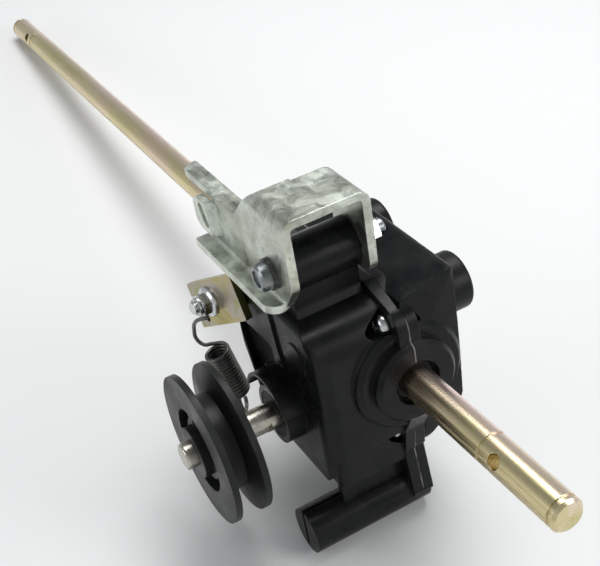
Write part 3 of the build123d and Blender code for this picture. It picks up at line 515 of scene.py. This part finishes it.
def plated(name, colour, roughness, scale=500, grain_height=0.00002, stained=0.4):
    """Zinc plate, bronze or bare steel with an uneven sheen, a stain and bright edges."""
    finish = Finish(name, 1.0, roughness)
    dark_colour = tuple(DARKER * part for part in colour)
    stain_colour = tuple(tint * part for tint, part in zip(STAIN_TINT, colour))
    edge_colour = tuple(min(WHITEST, EDGE_BRIGHTER * part) for part in colour)
    cloud = noise(finish, scale, detail=4, roughness=0.6)
    stain = noise(finish, scale / 3, detail=3, roughness=0.5, distortion=0.5)
    normal, edge = soft_edge(finish, 0.00025)
    tone = mix(finish, span(finish, cloud, (0.3, 0.7)), dark_colour, colour)
    tone = mix(finish, span(finish, stain, (0.5, 0.7), (0.0, stained)), tone, stain_colour)
    tone = mix(finish, span(finish, edge, (0.0, 1.0), (0.0, 0.5)), tone, edge_colour)
    finish.shade("Base Color", tone)
    finish.shade("Roughness", span(finish, cloud, (0.0, 1.0), (roughness - 0.07, roughness + 0.12)))
    finish.shade("Normal", bump(finish, cloud, normal, grain_height))
    return finish.material


materials = {
    "black_moulding": housing_black,
    "pulley_plastic": pulley_black,
    "seal_rubber": rubber,
    "yellow_zinc": axle_zinc,
    "galvanised": bracket_zinc,
    "bright_zinc": plated("bright_zinc", (0.72, 0.74, 0.74), 0.2),
    "plain_steel": plated("plain_steel", (0.55, 0.525, 0.45), 0.24, 260, 0.000001, stained=0.15),
    "dark_steel": plated("dark_steel", (0.12, 0.12, 0.12), 0.4),
    "spring_steel": plated("spring_steel", (0.15, 0.15, 0.14), 0.38, 1200),
    "bronze": plated("bronze", (0.5, 0.34, 0.18), 0.45, 1500),
    "bronze_wheel": plated("bronze_wheel", (0.55, 0.38, 0.2), 0.3),
}
blue_zinc = plated("blue_zinc", (0.30, 0.325, 0.33), 0.3)
print(len(materials), "finishes for the record's slots")

# %% [markdown]
# The record says which slot each node has, so a loop dresses them all. Two nodes get a finish of their own,
# because the real parts show one slot in two ways: the strap is sheet where the axle is bar,
# and the pivot bolt's zinc is bluish where the screws' is white.

# %% Finishes on the nodes
OWN_FINISH = {"spring_strap": strap_zinc, "pivot_bolt": blue_zinc}
for entry in frame["record"]["subparts"]:
    node_materials = frame["nodes"][entry["node"]].data.materials
    node_materials.clear()
    node_materials.append(OWN_FINISH.get(entry["node"], materials[entry["material_slot"]]))

# %% [markdown]
# The return spring is one length of round wire. In the solids the wire has eight sides, to keep them light.
# It could be bent by hand, but a coil is a helix, and that is worked out from its ends, its radius and its
# turns. It is turned so that the first coil starts on the side away from the camera.

# %% The spring's coil
COIL_TOP = Vector((-42.4, -42.6, -10.6))
COIL_FOOT = Vector((-41.7, -38.2, -32.6))
COIL_RADIUS = 4.5
COIL_TURNS = 14
POINTS_IN_A_TURN = 16
coil_length = (COIL_FOOT - COIL_TOP).length
down_coil = (COIL_FOOT - COIL_TOP).normalized()
sideways = (CAMERA_RIGHT - CAMERA_RIGHT.project(down_coil)).normalized()
far_side = down_coil.cross(sideways)
if far_side.dot(CAMERA_BACK) > 0:
    far_side = -far_side


def on_coil(turns):
    """A point of the coil. No turns is its far side at the top, and whole turns go down to its foot."""
    angle = math.pi / 2 - 2 * math.pi * turns
    ring = math.cos(angle) * sideways + math.sin(angle) * far_side
    return COIL_TOP + down_coil * coil_length * turns / COIL_TURNS + COIL_RADIUS * ring


coil = [on_coil(step / POINTS_IN_A_TURN) for step in range(COIL_TURNS * POINTS_IN_A_TURN + 1)]
print("coil of", COIL_TURNS, "turns,", round(coil_length, 1), "mm long")

# %% [markdown]
# The hook starts behind the strap, comes through its hole, bulges forward and sweeps along the far side
# of the coil into the first turn. Its points are listed one by one, because no formula gives such a bend.
# The foot steps in under the last turn and ends in a loop behind the pulley.

# %% The spring's hook and foot
STRAP_HOLE = Vector((-41.76, -41.52, 5.39))
HOOK_TIP_DROP = Vector((0.4, 0, 2.6))
HOOK_BEHIND = 2.6
HOOK_BULGE = [Vector(point) for point in (
    (-44.6, -45.0, 4.4), (-49.2, -46.3, 0.4), (-51.2, -46.5, -3.8), (-51.0, -46.7, -7.4))]
HOOK_SWEEP = ((5.0, 0.9), (2.3, 0.4))
FOOT_OUT = 0.4
FOOT_DOWN = 0.4
FOOT_DEGREES = range(0, 241, 30)
behind_strap = STRAP_HOLE - STRAP_NORMAL * HOOK_BEHIND
hook = [behind_strap - HOOK_TIP_DROP, behind_strap, STRAP_HOLE] + HOOK_BULGE
hook += [on_coil(0) - sideways * beside - down_coil * above for beside, above in HOOK_SWEEP]
foot_middle = COIL_FOOT + down_coil * COIL_RADIUS
foot = [COIL_FOOT + far_side * COIL_RADIUS * FOOT_OUT + down_coil * FOOT_DOWN]
for degrees in FOOT_DEGREES:
    angle = math.radians(degrees)
    foot.append(foot_middle - COIL_RADIUS * (math.cos(angle) * down_coil + math.sin(angle) * far_side))
print("hook with", len(hook), "points and foot with", len(foot))

# %% [markdown]
# A curve with a round bevel is the simplest wire: its points are the wire's middle, and its bevel is the
# wire's radius. Its handles are left automatic, so the wire bends smoothly from each point to the next.

# %% The spring's wire
WIRE_RADIUS = 0.78
wire = bpy.data.curves.new("tension_spring_wire", "CURVE")
wire.dimensions = "3D"
wire.bevel_depth = WIRE_RADIUS * MM
wire.bevel_resolution = 4
wire.resolution_u = 3
wire.use_fill_caps = True
wire.materials.append(materials["spring_steel"])
wire_points = hook + coil + foot
spline = wire.splines.new("BEZIER")
spline.bezier_points.add(len(wire_points) - 1)
for knot, point in zip(spline.bezier_points, wire_points):
    knot.co = place(*point)
    knot.handle_left_type = knot.handle_right_type = "AUTO"
spring = bpy.data.objects.new("tension_spring_wire", wire)
bpy.context.collection.objects.link(spring)
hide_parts("tension_spring")
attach(spring, "spring")
print("spring with", len(wire_points), "points")

# %% [markdown]
# Screws, bolts and nuts are turned or pressed. The solids have plain shanks, because threads are too small
# for them, so the pieces made here stand in for those nodes. A turned piece could be an outline that is spun,
# but its seam and poles would have to be merged. Here a filled disc is extruded and resized again and again,
# ring by ring, so it is closed from the start. With six sides the same way makes a hexagon.

# %% Turned shapes
ROUND_SIDES = 40
HEX_SIDES = 6


def only(piece):
    """Selects one object and nothing else."""
    bpy.ops.object.select_all(action="DESELECT")
    piece.select_set(True)
    bpy.context.view_layer.objects.active = piece


def settle(piece):
    """Moves an object's place and turn into its mesh."""
    only(piece)
    bpy.ops.object.transform_apply(location=True, rotation=True, scale=True)


def turned(name, sides, rings):
    """A closed shape along Z from rings of (height, radius), in millimetres."""
    bpy.ops.object.select_all(action="DESELECT")
    first_height, first_radius = rings[0]
    bpy.ops.mesh.primitive_circle_add(vertices=sides, radius=first_radius * MM, fill_type="NGON",
                                      location=(0, 0, first_height * MM))
    piece = bpy.context.object
    piece.name = name
    settle(piece)
    bpy.ops.object.mode_set(mode="EDIT")
    bpy.ops.mesh.select_all(action="SELECT")
    for (height, radius), (next_height, next_radius) in zip(rings, rings[1:]):
        rise = (0, 0, (next_height - height) * MM)
        grow = next_radius / radius
        bpy.ops.mesh.extrude_region_move(TRANSFORM_OT_translate={"value": rise})
        bpy.ops.transform.resize(value=(grow, grow, 1), center_override=(0, 0, next_height * MM))
    bpy.ops.mesh.select_all(action="SELECT")
    bpy.ops.mesh.normals_make_consistent(inside=False)
    bpy.ops.object.mode_set(mode="OBJECT")
    return piece


print("turned shapes have", ROUND_SIDES, "or", HEX_SIDES, "sides")

# %% [markdown]
# A thread is a spiral, and could be swept as one. Here its pitch is under a millimetre, and at that size
# it looks like a row of ridges. Rings that go out and in again give those, and they are rings
# like all the others of a turned shape.

# %% Thread
SHANK = 2.5
THREAD_PITCH = 0.8
THREAD_DEPTH = 0.3
THREAD_ROOT = SHANK - THREAD_DEPTH
THREAD_TIP = SHANK - 2 * THREAD_DEPTH
TIP_CHAMFER = 0.1


def thread(start_height, end_height):
    """Rings of a thread from one height to the other. The last one is the chamfer at its end."""
    rings = []
    height = start_height
    while height < end_height:
        rings += [(height, THREAD_ROOT), (height + THREAD_PITCH / 2, SHANK)]
        height += THREAD_PITCH
    return rings + [(height, THREAD_ROOT), (height + TIP_CHAMFER, THREAD_TIP)]


print("thread with", THREAD_PITCH, "mm pitch")

# %% [markdown]
# A piece could be modelled where it belongs, but it is easier to read upright at the origin. So it is made
# there and then stood at its place. Place and turn go into the mesh, because every finished object sits
# at the origin, as the nodes do. Joining keeps a set of screws one piece, as in the list of parts.

# %% Standing and joining
SMOOTH_BELOW = 28


def stand(piece, base, towards):
    """Moves a shape from the origin to its base, with its Z along a direction."""
    piece.matrix_world = Matrix.Translation(base) @ towards.to_track_quat("Z", "Y").to_matrix().to_4x4()
    settle(piece)


def finished(shapes, name, stands_for, body):
    """Joins shapes into one bright zinc piece that stands for a node of the model."""
    only(shapes[0])
    for shape in shapes[1:]:
        shape.select_set(True)
    bpy.ops.object.join()
    piece = bpy.context.object
    piece.name = piece.data.name = name
    piece.data.materials.clear()
    piece.data.materials.append(materials["bright_zinc"])
    only(piece)
    bpy.ops.object.shade_smooth_by_angle(angle=math.radians(SMOOTH_BELOW))
    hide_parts(stands_for)
    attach(piece, body)
    print(name, "has", len(piece.data.polygons), "faces")


print("edges stay sharp above", SMOOTH_BELOW, "degrees")

# %% [markdown]
# The flange screws have domed heads on threaded shanks. All four are alike, so one is turned here.
# Its length comes from the node that it stands for. Its thread runs into the plain shank,
# so the chamfer ring of the thread is left out.

# %% A flange screw
SCREW_HEAD_HEIGHT = 2.6
SCREW_HEAD = [(0.01, 4.2), (0.3, 4.4), (1.2, 4.45), (2.0, 4.2), (2.7, 3.6), (3.2, 2.7), (3.5, 1.6), (3.6, 0.6)]
SCREW_END = [(0.0, THREAD_TIP), (0.4, THREAD_ROOT)]
SCREW_THREAD = (0.8, 5.0)
SCREW_PLAIN_FROM = 6.4
screw_low, screw_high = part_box("housing_screws")
screw_length = (screw_high[1] - screw_low[1]) / MM - SCREW_HEAD_HEIGHT
below_head = SCREW_END + thread(*SCREW_THREAD)[:-1] + [(SCREW_PLAIN_FROM, SHANK)]
screw_rings = [(height - screw_length, radius) for height, radius in below_head]
first_screw = turned("flange_screw", ROUND_SIDES, screw_rings + [(0.0, SHANK)] + SCREW_HEAD)
print("screw", round(screw_length, 2), "mm long under its head")

# %% [markdown]
# The cross in the head is pressed in. Its corners could be pushed in face by face, but two crossed bars
# that a boolean modifier takes away do the same with clean walls. Each bar is removed after its cut.

# %% Cross recess
CROSS_DEGREES = (25, 115)
CROSS_BAR = (4.8, 1.0, 3.4)
CROSS_BAR_HEIGHT = 3.4
for degrees in CROSS_DEGREES:
    bpy.ops.object.select_all(action="DESELECT")
    bpy.ops.mesh.primitive_cube_add(size=1.0, location=(0, 0, CROSS_BAR_HEIGHT * MM),
                                    rotation=(0, 0, math.radians(degrees)),
                                    scale=tuple(side * MM for side in CROSS_BAR))
    bar = bpy.context.object
    cut = first_screw.modifiers.new("cross", "BOOLEAN")
    cut.operation = "DIFFERENCE"
    cut.object = bar
    cut.solver = "EXACT"
    only(first_screw)
    bpy.ops.object.modifier_apply(modifier=cut.name)
    bpy.data.objects.remove(bar)
print("screw with its cross has", len(first_screw.data.polygons), "faces")

# %% [markdown]
# The screws stand round the flange with their heads on the pulley's side. Each could be turned anew,
# but copies are sure to be alike. Their places are the drawing's, and the depth of their seats is read
# from the solid screws.

# %% Flange screws
SCREW_PLACES = ((22.0, 20.0), (19.2, -26.8), (-34.0, 20.0), (-33.6, -27.0))
OUT_OF_FLANGE = Vector((0, -1, 0))
screws = []
for x, z in SCREW_PLACES:
    screw = first_screw.copy()
    screw.data = first_screw.data.copy()
    bpy.context.collection.objects.link(screw)
    head_seat = place(x, 0, z)
    head_seat.y = screw_low[1] + SCREW_HEAD_HEIGHT * MM
    stand(screw, head_seat, OUT_OF_FLANGE)
    screws.append(screw)
bpy.data.objects.remove(first_screw)
finished(screws, "housing_screws_cross", "housing_screws", "housing")

# %% [markdown]
# The strap's nut is a flange nut with a round locking collar. One outline can't be round, six sided and round
# again, so the flange, the flats and the collar are three shapes set into each other. They stand where
# the solid nut starts, and a helper reads that from the node's own points.

# %% Strap nut
NUT_FLANGE = [(0.0, 5.8), (0.5, 5.9), (1.0, 5.6), (1.6, 4.6)]
NUT_FLATS = [(1.0, 4.3), (1.8, 4.62), (4.4, 4.62), (4.8, 4.2)]
NUT_COLLAR = [(4.0, 3.8), (5.6, 3.65), (6.1, 3.2), (6.15, 2.8), (5.7, 2.75)]
nut_low, nut_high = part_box("strap_nut")
nut_middle = (Vector(nut_low) + Vector(nut_high)) / 2


def start_of(node):
    """Where a node starts along the strap's bolt, from the nut's middle, in metres."""
    along_bolt = (Vector(vertex.co).dot(STRAP_NORMAL) for vertex in frame["nodes"][node].data.vertices)
    return min(along_bolt) - nut_middle.dot(STRAP_NORMAL)


nut_seat = nut_middle + STRAP_NORMAL * start_of("strap_nut")
nut_shapes = [turned("nut_flange", ROUND_SIDES, NUT_FLANGE), turned("nut_flats", HEX_SIDES, NUT_FLATS),
              turned("nut_collar", ROUND_SIDES, NUT_COLLAR)]
for shape in nut_shapes:
    stand(shape, nut_seat, STRAP_NORMAL)
finished(nut_shapes, "strap_nut_collared", "strap_nut", "housing")

# %% [markdown]
# The strap's bolt has a six sided head at the back, and its thread comes just past the nut's collar.
# It could be threaded all along, but inside the nut that is never seen. So the shank is plain there,
# and the ridges start a little below the collar.

# %% Strap bolt
BOLT_HEAD = [(0.0, 4.2), (0.4, 4.62), (3.3, 4.62)]
BOLT_SHANK_FROM, BOLT_SHANK_TO = 3.2, 4.1
BOLT_THREAD = (4.2, 6.9)
head_back = (start_of("strap_bolt") - start_of("strap_nut")) / MM
head_rings = [(head_back + height, radius) for height, radius in BOLT_HEAD]
shank_rings = [(head_back + BOLT_SHANK_FROM, SHANK), (BOLT_SHANK_TO, SHANK)] + thread(*BOLT_THREAD)
bolt_shapes = [turned("bolt_head", HEX_SIDES, head_rings), turned("bolt_shank", ROUND_SIDES, shank_rings)]
for shape in bolt_shapes:
    stand(shape, nut_seat, STRAP_NORMAL)
finished(bolt_shapes, "strap_bolt_threaded", "strap_bolt", "housing")
